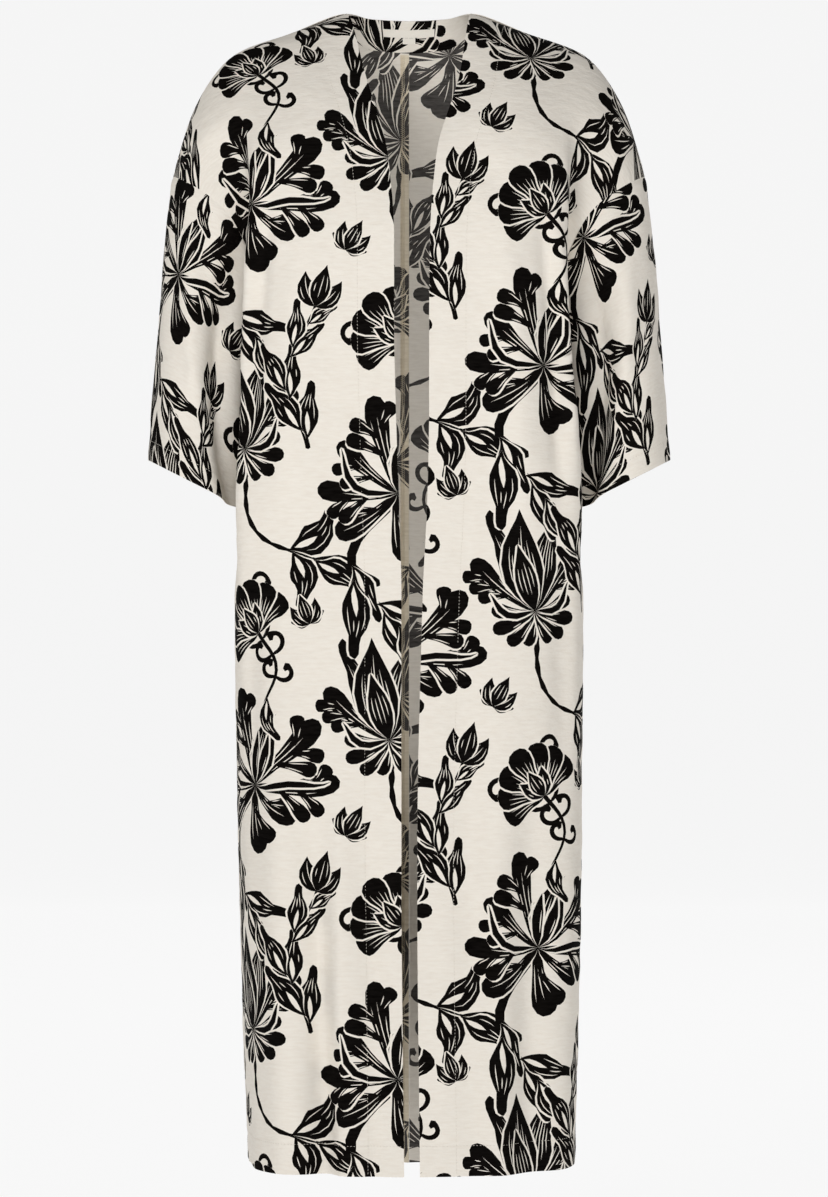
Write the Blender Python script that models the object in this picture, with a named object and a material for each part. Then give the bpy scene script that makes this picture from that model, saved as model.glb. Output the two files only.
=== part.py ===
"""Open-front kaftan of light crepe, filled out as worn with no wearer inside.

It has two fronts, two backs joined by a centre-back seam, two wide sleeves set low on the arm,
a back neck facing, a bare neck label with a size tab below it, and the allowance of the centre-back seam.

Metres, +Z up. The origin is midway between the two neck points, where the wearer's shoulders hold the
garment. The fronts face -Y, and the wearer's left side is at +X.
"""

import bmesh
import bpy
import numpy as np

# Driving sizes
CLOTH = 0.0015  # wall of the fronts, backs and sleeves
FACING_CLOTH = 0.0012  # wall of the facing, the seam allowance and the labels
SEAM_GAP = 0.0003  # between pieces that are sewn together, or lie on each other
ALLOWANCE_WIDTH = 0.010  # centre-back seam allowance, pressed to the wearer's right
LABEL_SIZE = (0.056, 0.009)  # width, height
LABEL_DROP = 0.010  # label's top edge, below the back neck edge
TAB_SIZE = (0.015, 0.007)
NAPE_X = 0.042  # where the back neck curve starts to turn forwards

# Sections of one half of the body, from the hem up to the shoulder. Each is a line across the cloth from
# its inner edge (front opening or neck point) to its outer edge (side seam, then armhole). It runs over a
# ridge, the crest of the fold beside the arm, and through a tuck, where that fold turns in under the arm.
FRONT_COLUMNS = (
    "edge_z", "seam_z", "left_edge_x", "right_edge_x", "edge_y", "bulge",
    "ridge_x", "ridge_y", "tuck_x", "tuck_y", "seam_x", "seam_y",
)
FRONT_SECTIONS = {
    "hem": (-1.281, -1.272, 0.012, 0.005, -0.128, 0.019, 0.170, -0.078, 0.179, -0.037, 0.180, 0.000),
    "knee": (-0.950, -0.950, 0.009, 0.008, -0.124, 0.020, 0.179, -0.075, 0.189, -0.036, 0.190, 0.000),
    "hip": (-0.650, -0.650, 0.015, 0.008, -0.122, 0.020, 0.187, -0.072, 0.193, -0.036, 0.194, 0.000),
    "cuff": (-0.545, -0.545, 0.020, 0.011, -0.123, 0.019, 0.190, -0.080, 0.173, -0.044, 0.166, 0.000),
    "elbow": (-0.450, -0.452, 0.022, 0.014, -0.125, 0.018, 0.185, -0.084, 0.163, -0.046, 0.159, 0.000),
    "underarm": (-0.350, -0.370, 0.022, 0.016, -0.128, 0.016, 0.179, -0.088, 0.160, -0.048, 0.156, 0.000),
    "bust": (-0.260, -0.298, 0.023, 0.016, -0.126, 0.015, 0.176, -0.092, 0.166, -0.057, 0.168, -0.038),
    "chest": (-0.170, -0.228, 0.030, 0.023, -0.108, 0.014, 0.174, -0.090, 0.178, -0.060, 0.200, -0.062),
    "collar": (-0.080, -0.193, 0.055, 0.047, -0.066, 0.012, 0.167, -0.062, 0.216, -0.052, 0.246, -0.042),
}
SHOULDER_SECTION = {
    "edge_z": 0.000, "seam_z": -0.183, "cb_y": 0.062, "nape_y": 0.048, "edge_x": 0.070, "edge_y": 0.005,
    "bulge": 0.000, "ridge_x": 0.196, "ridge_y": 0.012, "tuck_x": 0.239, "tuck_y": 0.008,
    "seam_x": 0.264, "seam_y": 0.000,
}
BACK_COLUMNS = (
    "edge_z", "seam_z", "cb_y", "nape_y", "edge_x", "edge_y", "bulge",
    "ridge_x", "ridge_y", "tuck_x", "tuck_y", "seam_x", "seam_y",
)
BACK_SECTIONS = {
    "collar": (-0.070, -0.195, 0.088, 0.086, 0.085, 0.079, -0.008, 0.172, 0.056, 0.222, 0.046, 0.248, 0.038),
    "chest": (-0.150, -0.232, 0.106, 0.106, 0.088, 0.104, -0.010, 0.174, 0.080, 0.184, 0.056, 0.208, 0.058),
    "bust": (-0.250, -0.299, 0.112, 0.112, 0.088, 0.110, -0.012, 0.175, 0.084, 0.168, 0.052, 0.170, 0.034),
    "underarm": (-0.345, -0.370, 0.110, 0.110, 0.088, 0.108, -0.012, 0.177, 0.082, 0.160, 0.044, 0.156, 0.000),
    "elbow": (-0.450, -0.452, 0.107, 0.107, 0.088, 0.105, -0.012, 0.181, 0.078, 0.163, 0.042, 0.159, 0.000),
    "cuff": (-0.545, -0.545, 0.106, 0.106, 0.088, 0.104, -0.012, 0.185, 0.073, 0.173, 0.040, 0.166, 0.000),
    "hip": (-0.650, -0.650, 0.107, 0.107, 0.088, 0.105, -0.012, 0.182, 0.066, 0.193, 0.034, 0.194, 0.000),
    "knee": (-0.950, -0.950, 0.115, 0.115, 0.088, 0.113, -0.012, 0.178, 0.070, 0.189, 0.035, 0.190, 0.000),
    "hem": (-1.300, -1.272, 0.124, 0.124, 0.088, 0.122, -0.012, 0.170, 0.074, 0.179, 0.037, 0.180, 0.000),
}
# How far each place on a section has dropped from the inner edge's height to the outer edge's.
DROOP = {"mid": 0.12, "ridge": 0.25, "tuck": 0.57}

# Rings of a sleeve from the armhole to the cuff: its outer and inner line, and half its depth from front
# to back.
SLEEVE_COLUMNS = ("outer_x", "outer_z", "inner_x", "inner_z", "half_depth")
SLEEVE_RINGS = {
    "armhole": (0.264, -0.183, 0.156, -0.370, 0.062),
    "upper": (0.274, -0.270, 0.171, -0.425, 0.064),
    "lower": (0.284, -0.385, 0.180, -0.490, 0.064),
    "cuff": (0.291, -0.499, 0.184, -0.553, 0.062),
}
DEEP_VALLEY = 1.4  # length of the sum of two directions, below which a seam lies deep in a valley
ARMHOLE_REACH = 0.45  # share of the sleeve's length over which the armhole's outline turns into a plain tube

# Soft upright folds of the skirt: where they stand across the cloth as a share of its width, where they
# fade out at the top, their half-width, and how far they stand out (or in) at the hem.
FOLD_COLUMNS = ("across", "top_z", "half_width", "rise")
FRONT_LEFT_FOLDS = (
    (0.22, -0.75, 0.030, 0.004),
    (0.52, -0.70, 0.038, -0.004),
    (0.80, -0.62, 0.032, 0.005),
)
FRONT_RIGHT_FOLDS = (
    (0.14, -0.80, 0.022, 0.007),
    (0.33, -0.70, 0.026, -0.008),
    (0.52, -0.66, 0.030, 0.006),
    (0.78, -0.62, 0.032, -0.004),
)
BACK_FOLDS = (
    (0.18, -0.60, 0.030, 0.006),
    (0.42, -0.55, 0.034, -0.007),
    (0.66, -0.60, 0.032, 0.007),
    (0.88, -0.62, 0.026, -0.004),
)

# Faces between neighbouring sections, from the hem up, and between neighbouring places on a section
LEVEL_STEPS = {
    "hem": 4, "knee": 4, "hip": 2, "cuff": 2, "elbow": 2, "underarm": 3, "bust": 3, "chest": 3, "collar": 4,
}
FRONT_STEPS = (4, 4, 4, 4)
BACK_STEPS = (3, 2, *FRONT_STEPS)
NECK_COLUMNS = sum(BACK_STEPS[:2])  # columns of a back between the centre-back seam and the neck point
FACING_ROWS = 2  # rows of a back that its neck facing covers, about 37 mm
SLEEVE_STEPS = 11
UNDERARM_ROW = sum(list(LEVEL_STEPS.values())[: list(LEVEL_STEPS).index("underarm")])


def smooth_through(knots, values, at):
    """The values at some places on a smooth curve through the knots, which never overshoots them."""
    step = np.diff(knots).reshape((-1,) + (1,) * (values.ndim - 1))
    slope = np.diff(values, axis=0) / step
    before, after = slope[:-1], slope[1:]
    first, second = 2 * step[1:] + step[:-1], step[1:] + 2 * step[:-1]
    turns = before * after <= 0
    safe_before, safe_after = np.where(turns, 1.0, before), np.where(turns, 1.0, after)
    inner = np.where(turns, 0.0, (first + second) / (first / safe_before + second / safe_after))
    tangent = np.concatenate([slope[:1], inner, slope[-1:]])
    cell = np.clip(np.searchsorted(knots, at, side="right") - 1, 0, len(knots) - 2)
    size = step[cell]
    t = (np.asarray(at) - knots[cell]).reshape(size.shape[:1] + (1,) * (values.ndim - 1)) / size
    rise = values[cell + 1] - values[cell]
    return (
        values[cell]
        + rise * t * t * (3 - 2 * t)
        + size * t * (1 - t) * (tangent[cell] * (1 - t) - tangent[cell + 1] * t)
    )


def named(columns, row):
    return dict(zip(columns, row))


def outer_places(section, edge_x):
    """The places on a section from its inner edge to its outer one: edge, mid, ridge, tuck, seam."""
    drop = section["seam_z"] - section["edge_z"]
    mid_x = (edge_x + section["ridge_x"]) / 2
    mid_y = (section["edge_y"] + section["ridge_y"]) / 2 - section["bulge"]
    return [
        (edge_x, section["edge_y"], section["edge_z"]),
        (mid_x, mid_y, section["edge_z"] + drop * DROOP["mid"]),
        (section["ridge_x"], section["ridge_y"], section["edge_z"] + drop * DROOP["ridge"]),
        (section["tuck_x"], section["tuck_y"], section["edge_z"] + drop * DROOP["tuck"]),
        (section["seam_x"], section["seam_y"], section["seam_z"]),
    ]


def nape_places(section):
    """The places that a back section has between the centre-back seam and the neck point's line."""
    return [(0.0, section["cb_y"], section["edge_z"]), (NAPE_X, section["nape_y"], section["edge_z"])]


class Body:
    """One side of the body, as sections that run from the front hem over the shoulder to the back hem."""

    def __init__(self, side):
        self.side = side  # 1 for the wearer's left, -1 for the right
        edge_column = "left_edge_x" if side > 0 else "right_edge_x"
        fronts = [named(FRONT_COLUMNS, row) for row in FRONT_SECTIONS.values()]
        backs = [named(BACK_COLUMNS, row) for row in BACK_SECTIONS.values()]
        sections = [outer_places(s, s[edge_column]) for s in fronts]
        sections.append(outer_places(SHOULDER_SECTION, SHOULDER_SECTION["edge_x"]))
        sections += [outer_places(s, s["edge_x"]) for s in backs]
        self.outer = np.array(sections)
        self.nape = np.array([nape_places(s) for s in [SHOULDER_SECTION, *backs]])
        middles = self.outer[:, 1]
        steps = np.linalg.norm(np.diff(middles, axis=0), axis=1)
        self.knots = np.concatenate([[0.0], np.cumsum(steps)])
        self.shoulder = len(fronts)

    def rows(self, back):
        """Where the rows of faces lie along the knots, from the hem up to the shoulder."""
        counts = list(LEVEL_STEPS.values())
        ends = self.knots[: self.shoulder + 1]
        if back:
            ends = self.knots[self.shoulder :][::-1]
        parts = [np.linspace(a, b, n, endpoint=False) for a, b, n in zip(ends, ends[1:], counts)]
        return np.concatenate([*parts, ends[-1:]])

    def section(self, row, back):
        """The places across the cloth at one row."""
        places = smooth_through(self.knots, self.outer, np.array([row]))[0]
        if back:
            knots = self.knots[self.shoulder :]
            places = np.concatenate([smooth_through(knots, self.nape, np.array([row]))[0], places])
        return places

    def line(self, row, back, steps):
        """Points across the cloth at one row, with that many faces between neighbouring places."""
        places = self.section(row, back)
        along = lengths_along(places[None])[0]
        parts = [np.linspace(a, b, n, endpoint=False) for a, b, n in zip(along, along[1:], steps)]
        at = np.concatenate([*parts, along[-1:]])
        if back:  # level where it crosses the centre-back seam
            along = np.concatenate([-along[1:2], along])
            places = np.concatenate([places[1:2] * (-1, 1, 1), places])
        return smooth_through(along, places, at)

    def grid(self, back, folds):
        """The cloth as rows of points from the hem up, each from the inner edge to the outer one."""
        steps = BACK_STEPS if back else FRONT_STEPS
        points = np.array([self.line(row, back, steps) for row in self.rows(back)])
        points += fold_offsets(points, folds, 1.0 if back else -1.0)
        return points * (self.side, 1, 1)


def lengths_along(points):
    """How far each point is along its row."""
    steps = np.linalg.norm(np.diff(points, axis=1), axis=2)
    return np.concatenate([np.zeros((len(points), 1)), np.cumsum(steps, axis=1)], axis=1)


def unit(vectors):
    return vectors / np.maximum(np.linalg.norm(vectors, axis=-1, keepdims=True), 1e-9)


def smooth_step(x):
    x = np.clip(x, 0, 1)
    return x * x * (3 - 2 * x)


def fold_offsets(points, folds, outward_y):
    """How far the upright folds move each point of a panel, level and square to its row."""
    along = lengths_along(points)
    across = np.gradient(points, axis=1)
    square = np.stack([-across[..., 1], across[..., 0], np.zeros(along.shape)], axis=2)
    square = outward_y * unit(square)
    hem_z = points[0, :, 2]
    offset = np.zeros(along.shape)
    for row in folds:
        fold = named(FOLD_COLUMNS, row)
        place = (along - fold["across"] * along[:, -1:]) / fold["half_width"]
        fade = smooth_step((fold["top_z"] - points[..., 2]) / (fold["top_z"] - hem_z))
        offset += fold["rise"] * fade * np.exp(-place * place)
    return square * offset[..., None]


def sleeve_grid(front, back):
    """A sleeve as rings from the armhole to the cuff. The armhole is the outer edge of the two panels."""
    front_edge, back_edge = front[UNDERARM_ROW:, -1][::-1], back[UNDERARM_ROW:, -1]
    armhole = np.concatenate([front_edge, back_edge[1:-1]])
    side = np.sign(armhole[0, 0])
    turn = np.concatenate([half_turn(front_edge), np.pi + half_turn(back_edge)[1:-1]])
    rings = np.array(list(SLEEVE_RINGS.values()))
    knots = np.linspace(0, 1, len(rings))
    grid = []
    for t in np.linspace(0, 1, SLEEVE_STEPS + 1):
        ring = named(SLEEVE_COLUMNS, smooth_through(knots, rings, np.array([t]))[0])
        outer = np.array((side * ring["outer_x"], 0, ring["outer_z"]))
        inner = np.array((side * ring["inner_x"], 0, ring["inner_z"]))
        round_y = np.array((0, -ring["half_depth"], 0))
        tube = (outer + inner) / 2
        tube = tube + np.cos(turn)[:, None] * (outer - inner) / 2 + np.sin(turn)[:, None] * round_y
        keep = 1 - smooth_step(t / ARMHOLE_REACH)
        grid.append(keep * armhole + (1 - keep) * tube)
    return np.array(grid)


def half_turn(edge):
    """Angles from 0 to half a turn, spread along an edge by its length."""
    along = lengths_along(edge[None])[0]
    return np.pi * along / along[-1]


def panel_normals(points, side, back):
    """The direction out of the garment at each point of a panel."""
    normals = np.cross(np.gradient(points, axis=1), np.gradient(points, axis=0)) * side
    if back:
        normals = -normals
        normals[:, 0, 0] = 0  # square to the centre-back seam
    return unit(normals)


def sleeve_normals(points, side):
    """The direction out of a sleeve at each point of its rings."""
    around = np.roll(points, -1, axis=1) - np.roll(points, 1, axis=1)
    normals = np.cross(around, np.gradient(points, axis=0)) * side
    return unit(normals)


def share_normals(first, second):
    """Give both edges of a seam the same direction, so that their walls end face to face.

    In a deep valley each edge keeps its own.
    """
    mean = first + second
    length = np.linalg.norm(mean, axis=-1, keepdims=True)
    flat = length > DEEP_VALLEY
    mean = mean / np.where(flat, length, 1.0)
    first[...] = np.where(flat, mean, first)
    second[...] = np.where(flat, mean, second)


def share_seams(front, back, sleeve):
    """Share the directions at the shoulder seam, the side seam and the armhole."""
    share_normals(front[-1], back[-1, NECK_COLUMNS:])
    share_normals(front[: UNDERARM_ROW + 1, -1], back[: UNDERARM_ROW + 1, -1])
    underarm = len(front) - 1 - UNDERARM_ROW
    share_normals(front[UNDERARM_ROW:, -1][::-1], sleeve[0, : underarm + 1])
    share_normals(back[UNDERARM_ROW + 1 : -1, -1], sleeve[0, underarm + 1 :])
    back[(UNDERARM_ROW, -1), -1] = front[(UNDERARM_ROW, -1), -1]


def pulled_in(points, normals, sides):
    """The grid with the named edges moved half a seam gap towards its middle, along the cloth."""
    points = points.copy()
    ends = {
        "bottom": (np.s_[0], np.s_[1]),
        "top": (np.s_[-1], np.s_[-2]),
        "inner": (np.s_[:, 0], np.s_[:, 1]),
        "outer": (np.s_[:, -1], np.s_[:, -2]),
    }
    for side in sides:
        edge, neighbour = ends[side]
        way = points[neighbour] - points[edge]
        seam = unit(np.gradient(points[edge], axis=0))
        for square_to in (normals[edge], seam):
            way = way - square_to * np.sum(way * square_to, axis=-1, keepdims=True)
        points[edge] += unit(way) * SEAM_GAP / 2
    return points


def cloth_material(name, colour, roughness):
    material = bpy.data.materials.new(name)
    material.use_nodes = True
    shader = material.node_tree.nodes["Principled BSDF"]
    shader.inputs["Base Color"].default_value = (*colour, 1)
    shader.inputs["Roughness"].default_value = roughness
    return material


def cloth_wall(name, outer, inner, material, closed=False, both_sides=False):
    """A wall of cloth between two grids of points. Closed grids make a tube.

    A grid that runs over both sides of the garment is split into triangles as the panels are, alike on
    both sides.
    """
    if closed:
        outer, inner = (np.concatenate([grid, grid[:, :1]], axis=1) for grid in (outer, inner))
    rows, columns = outer.shape[:2]
    sheet = bmesh.new()
    bmesh.ops.create_grid(sheet, x_segments=columns - 1, y_segments=rows - 1, size=1)
    places = {}
    for vertex in sheet.verts:
        place = round((vertex.co.y + 1) / 2 * (rows - 1)), round((vertex.co.x + 1) / 2 * (columns - 1))
        vertex.co = outer[place]
        places[vertex.co.to_tuple(6)] = place
    if closed:
        bmesh.ops.remove_doubles(sheet, verts=sheet.verts, dist=1e-6)
    mirrored = [face for face in sheet.faces if both_sides and face.calc_center_median().x < 0]
    bmesh.ops.triangulate(sheet, faces=mirrored, quad_method="ALTERNATE")
    bmesh.ops.triangulate(sheet, faces=sheet.faces[:], quad_method="FIXED")
    copied = bmesh.ops.extrude_face_region(sheet, geom=sheet.faces[:], use_keep_orig=True)["geom"]
    for vertex in copied:
        if isinstance(vertex, bmesh.types.BMVert):
            vertex.co = inner[places[vertex.co.to_tuple(6)]]
    bmesh.ops.recalc_face_normals(sheet, faces=sheet.faces)
    mesh = bpy.data.meshes.new(name)
    sheet.to_mesh(mesh)
    sheet.free()
    mesh.shade_smooth()
    mesh.materials.append(material)
    collection.objects.link(bpy.data.objects.new(name, mesh))


def on_panel(points, normals, rows, columns, depth):
    """Points on a panel's own faces, at shares of its rows and columns, that far in from its outer face."""
    both = np.concatenate([points, normals], axis=2)
    row, column = np.meshgrid(rows, columns, indexing="ij")
    low_row = np.minimum(row.astype(int), len(points) - 2)
    low_column = np.minimum(column.astype(int), points.shape[1] - 2)
    up, over = (row - low_row)[..., None], (column - low_column)[..., None]
    lower = both[low_row, low_column] * (1 - over) + both[low_row, low_column + 1] * over
    upper = both[low_row + 1, low_column] * (1 - over) + both[low_row + 1, low_column + 1] * over
    found = lower * (1 - up) + upper * up
    return found[..., :3] - found[..., 3:] * depth


def across_the_back(points, normals, rows, columns, depth):
    """Points that run from the wearer's right back over the centre-back seam to the left back."""
    left = on_panel(points, normals, rows, columns, depth)
    right = left[:, :0:-1] * (-1, 1, 1)
    return np.concatenate([right, left], axis=1)


def lining_wall(name, panel, rows, columns, depth, material, both_sides=True):
    """A piece that lies inside the back, that deep below the cloth's outer face."""
    points_at = across_the_back if both_sides else on_panel
    outer = points_at(*panel, rows, columns, depth)
    inner = points_at(*panel, rows, columns, depth + FACING_CLOTH)
    cloth_wall(name, outer, inner, material, both_sides=both_sides)


# Start from an empty scene
for leftover in list(bpy.data.objects):
    bpy.data.objects.remove(leftover)
collection = bpy.data.collections.new("kaftan")
bpy.context.scene.collection.children.link(collection)

crepe = cloth_material("printed_crepe", (0.78, 0.72, 0.63), 0.85)
facing_crepe = cloth_material("facing_crepe", (0.20, 0.18, 0.17), 0.85)
overlocked = cloth_material("overlocked_edge", (0.42, 0.35, 0.25), 0.85)
woven = cloth_material("woven_label", (0.88, 0.86, 0.80), 0.60)

# Fronts, backs and sleeves
backs = {}
for label, side, front_folds in (("left", 1, FRONT_LEFT_FOLDS), ("right", -1, FRONT_RIGHT_FOLDS)):
    body = Body(side)
    front = body.grid(False, front_folds)
    back = body.grid(True, BACK_FOLDS)
    sleeve = sleeve_grid(front, back)
    front_out = panel_normals(front, side, False)
    back_out = panel_normals(back, side, True)
    sleeve_out = sleeve_normals(sleeve, side)
    share_seams(front_out, back_out, sleeve_out)
    front = pulled_in(front, front_out, ("top", "outer"))
    back = pulled_in(back, back_out, ("top", "inner", "outer"))
    sleeve = pulled_in(sleeve, sleeve_out, ("bottom",))
    cloth_wall("front_" + label, front, front - front_out * CLOTH, crepe)
    cloth_wall("back_" + label, back, back - back_out * CLOTH, crepe)
    cloth_wall("sleeve_" + label, sleeve, sleeve - sleeve_out * CLOTH, crepe, closed=True)
    backs[label] = (back, back_out)

# Back neck facing, on the inside of both backs
panel = backs["left"]
top = len(panel[0]) - 1
under_cloth = CLOTH + SEAM_GAP
facing_rows = np.arange(top - FACING_ROWS, top + 1)
lining_wall("back_neck_facing", panel, facing_rows, np.arange(NECK_COLUMNS + 1), under_cloth, facing_crepe)

# Neck label and size tab, on the facing
under_facing = under_cloth + FACING_CLOTH + SEAM_GAP
row_height = np.linalg.norm(panel[0][top, 0] - panel[0][top - 1, 0])
column_width = NAPE_X / BACK_STEPS[0]
label_rows = top - np.array((LABEL_DROP + LABEL_SIZE[1], LABEL_DROP)) / row_height
label_columns = np.arange(round(LABEL_SIZE[0] / 2 / column_width) + 1)
lining_wall("neck_label", panel, label_rows, label_columns, under_facing, woven)
tab_rows = label_rows[0] - np.array((SEAM_GAP + TAB_SIZE[1], SEAM_GAP)) / row_height
tab_columns = np.array((0.0, TAB_SIZE[0] / 2 / column_width))
lining_wall("size_tab", panel, tab_rows, tab_columns, under_facing, woven)

# Centre-back seam allowance, on the inside of the right back, from below the facing to the hem
facing_end = top - FACING_ROWS
allowance_rows = np.concatenate([np.arange(facing_end), [facing_end - SEAM_GAP / row_height]])
allowance_columns = np.array((SEAM_GAP, ALLOWANCE_WIDTH)) / column_width
strip = (allowance_rows, allowance_columns, under_cloth)
lining_wall("back_seam_allowance", backs["right"], *strip, overlocked, both_sides=False)
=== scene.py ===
import math

import bpy
import numpy as np
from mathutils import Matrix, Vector, noise
from mathutils.bvhtree import BVHTree
from mathutils.geometry import delaunay_2d_cdt


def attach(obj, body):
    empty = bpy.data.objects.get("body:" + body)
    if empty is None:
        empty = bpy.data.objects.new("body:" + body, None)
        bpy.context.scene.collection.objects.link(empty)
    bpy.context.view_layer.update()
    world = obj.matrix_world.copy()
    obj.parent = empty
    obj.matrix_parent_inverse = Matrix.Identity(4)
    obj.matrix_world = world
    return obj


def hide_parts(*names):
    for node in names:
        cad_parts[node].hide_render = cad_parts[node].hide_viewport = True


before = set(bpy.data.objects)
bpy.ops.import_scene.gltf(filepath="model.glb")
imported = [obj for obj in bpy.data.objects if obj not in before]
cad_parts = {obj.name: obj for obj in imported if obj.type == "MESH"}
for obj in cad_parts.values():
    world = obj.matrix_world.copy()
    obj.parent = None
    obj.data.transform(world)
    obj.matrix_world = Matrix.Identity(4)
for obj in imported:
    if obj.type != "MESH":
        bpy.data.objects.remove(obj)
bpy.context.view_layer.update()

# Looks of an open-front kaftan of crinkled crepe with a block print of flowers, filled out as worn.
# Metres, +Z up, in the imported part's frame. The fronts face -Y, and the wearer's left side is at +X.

# Driving sizes
MM = 1000  # millimetres in a metre
SHOWN_CLOTH = 0.0007  # the cloth that is shown, from the solids' outer face inwards
SEAM_GAP = 0.0003
FACING_DEPTH = 0.037  # back neck facing, down from the neck edge
FACING_WIDTH = 0.040  # front facing, from the edge to its stitching
HEM_DEPTH = 0.033
CUFF_DEPTH = 0.022
ALLOWANCE_WIDTH = 0.010
LABEL_SIZE = (0.056, 0.009)
LABEL_DROP = 0.010
TAB_SIZE = (0.015, 0.007)
NAPE_X = 0.042
ROW_SIZE = 0.0085  # height of the faces that carry the form
FRONT_STEPS = (11, 19, 8, 6)  # faces across a front between neighbouring places
BACK_STEPS = (6, 6, *FRONT_STEPS)
NECK_COLUMNS = sum(BACK_STEPS[:2])
SLEEVE_STEPS = 38

# Sections of one half of the body in millimetres, up the front to the shoulder and down the back. Each is a
# line across the cloth from its inner edge (front opening or neck point) to its outer edge (side seam, then
# armhole). It runs over a ridge, the crest of the fold beside the arm, and through a tuck, where that fold
# turns in under the arm.
FRONT_COLUMNS = (
    "edge_z", "seam_z", "left_edge_x", "right_edge_x", "edge_y", "bulge",
    "ridge_x", "ridge_y", "tuck_x", "tuck_y", "seam_x", "seam_y",
)
FRONT_SECTIONS = {
    "hem": (-1281, -1272, 12, 5, -128, 19, 170, -78, 179, -37, 180, 0),
    "knee": (-950, -950, 9, 8, -124, 20, 179, -75, 189, -36, 190, 0),
    "hip": (-650, -650, 15, 8, -122, 20, 187, -72, 193, -36, 194, 0),
    "cuff": (-545, -545, 20, 11, -123, 19, 190, -80, 173, -44, 166, 0),
    "elbow": (-450, -452, 22, 14, -125, 18, 185, -84, 163, -46, 159, 0),
    "underarm": (-350, -370, 22, 16, -128, 16, 179, -88, 160, -48, 156, 0),
    "bust": (-260, -298, 23, 16, -126, 15, 176, -92, 166, -57, 168, -38),
    "chest": (-170, -228, 30, 23, -108, 14, 174, -90, 178, -60, 200, -62),
    "collar": (-80, -193, 55, 47, -66, 12, 167, -62, 216, -52, 246, -42),
}
BACK_COLUMNS = (
    "edge_z", "seam_z", "cb_y", "nape_y", "edge_x", "edge_y", "bulge",
    "ridge_x", "ridge_y", "tuck_x", "tuck_y", "seam_x", "seam_y",
)
BACK_SECTIONS = {
    "shoulder": (0, -183, 62, 48, 70, 5, 0, 196, 12, 239, 8, 264, 0),
    "collar": (-70, -195, 88, 86, 85, 79, -8, 172, 56, 222, 46, 248, 38),
    "chest": (-150, -232, 106, 106, 88, 104, -10, 174, 80, 184, 56, 208, 58),
    "bust": (-250, -299, 112, 112, 88, 110, -12, 175, 84, 168, 52, 170, 34),
    "underarm": (-345, -370, 110, 110, 88, 108, -12, 177, 82, 160, 44, 156, 0),
    "elbow": (-450, -452, 107, 107, 88, 105, -12, 181, 78, 163, 42, 159, 0),
    "cuff": (-545, -545, 106, 106, 88, 104, -12, 185, 73, 173, 40, 166, 0),
    "hip": (-650, -650, 107, 107, 88, 105, -12, 182, 66, 193, 34, 194, 0),
    "knee": (-950, -950, 115, 115, 88, 113, -12, 178, 70, 189, 35, 190, 0),
    "hem": (-1300, -1272, 124, 124, 88, 122, -12, 170, 74, 179, 37, 180, 0),
}
# How far each place on a section has dropped from the inner edge's height to the outer edge's.
DROOP = {"mid": 0.12, "ridge": 0.25, "tuck": 0.57}

# Rings of a sleeve in millimetres, from the armhole to the cuff: its outer and inner line, and half its depth
# from front to back.
SLEEVE_COLUMNS = ("outer_x", "outer_z", "inner_x", "inner_z", "half_depth")
SLEEVE_RINGS = {
    "armhole": (264, -183, 156, -370, 62),
    "upper": (274, -270, 171, -425, 64),
    "lower": (284, -385, 180, -490, 64),
    "cuff": (291, -499, 184, -553, 62),
}
ARMHOLE_REACH = 0.45  # share of the sleeve's length over which the armhole's outline turns into a plain tube

# Soft upright folds of the skirt: where they stand across the cloth as a share of its width, where they
# fade out at the top, their half-width, and how far they stand out (or in) at the hem.
FOLD_COLUMNS = ("across", "top_z", "half_width", "rise")
FRONT_LEFT_FOLDS = (
    (0.22, -0.75, 0.030, 0.004),
    (0.52, -0.70, 0.038, -0.004),
    (0.80, -0.62, 0.032, 0.005),
)
FRONT_RIGHT_FOLDS = (
    (0.14, -0.80, 0.022, 0.007),
    (0.33, -0.70, 0.026, -0.008),
    (0.52, -0.66, 0.030, 0.006),
    (0.78, -0.62, 0.032, -0.004),
)
BACK_FOLDS = (
    (0.18, -0.60, 0.030, 0.006),
    (0.42, -0.55, 0.034, -0.007),
    (0.66, -0.60, 0.032, 0.007),
    (0.88, -0.62, 0.026, -0.004),
)


def smooth_through(knots, values, at):
    """The values at some places on a smooth curve through the knots, which never overshoots them."""
    step = np.diff(knots).reshape((-1,) + (1,) * (values.ndim - 1))
    slope = np.diff(values, axis=0) / step
    before, after = slope[:-1], slope[1:]
    first, second = 2 * step[1:] + step[:-1], step[1:] + 2 * step[:-1]
    turns = before * after <= 0
    safe_before, safe_after = np.where(turns, 1.0, before), np.where(turns, 1.0, after)
    inner = np.where(turns, 0.0, (first + second) / (first / safe_before + second / safe_after))
    tangent = np.concatenate([slope[:1], inner, slope[-1:]])
    cell = np.clip(np.searchsorted(knots, at, side="right") - 1, 0, len(knots) - 2)
    size = step[cell]
    t = (np.asarray(at) - knots[cell]).reshape(size.shape[:1] + (1,) * (values.ndim - 1)) / size
    rise = values[cell + 1] - values[cell]
    return (
        values[cell]
        + rise * t * t * (3 - 2 * t)
        + size * t * (1 - t) * (tangent[cell] * (1 - t) - tangent[cell + 1] * t)
    )


def named(columns, row):
    return dict(zip(columns, row))


def sized(columns, row):
    """A row of millimetres by its columns, in metres."""
    return {column: size / MM for column, size in zip(columns, row)}


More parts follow.
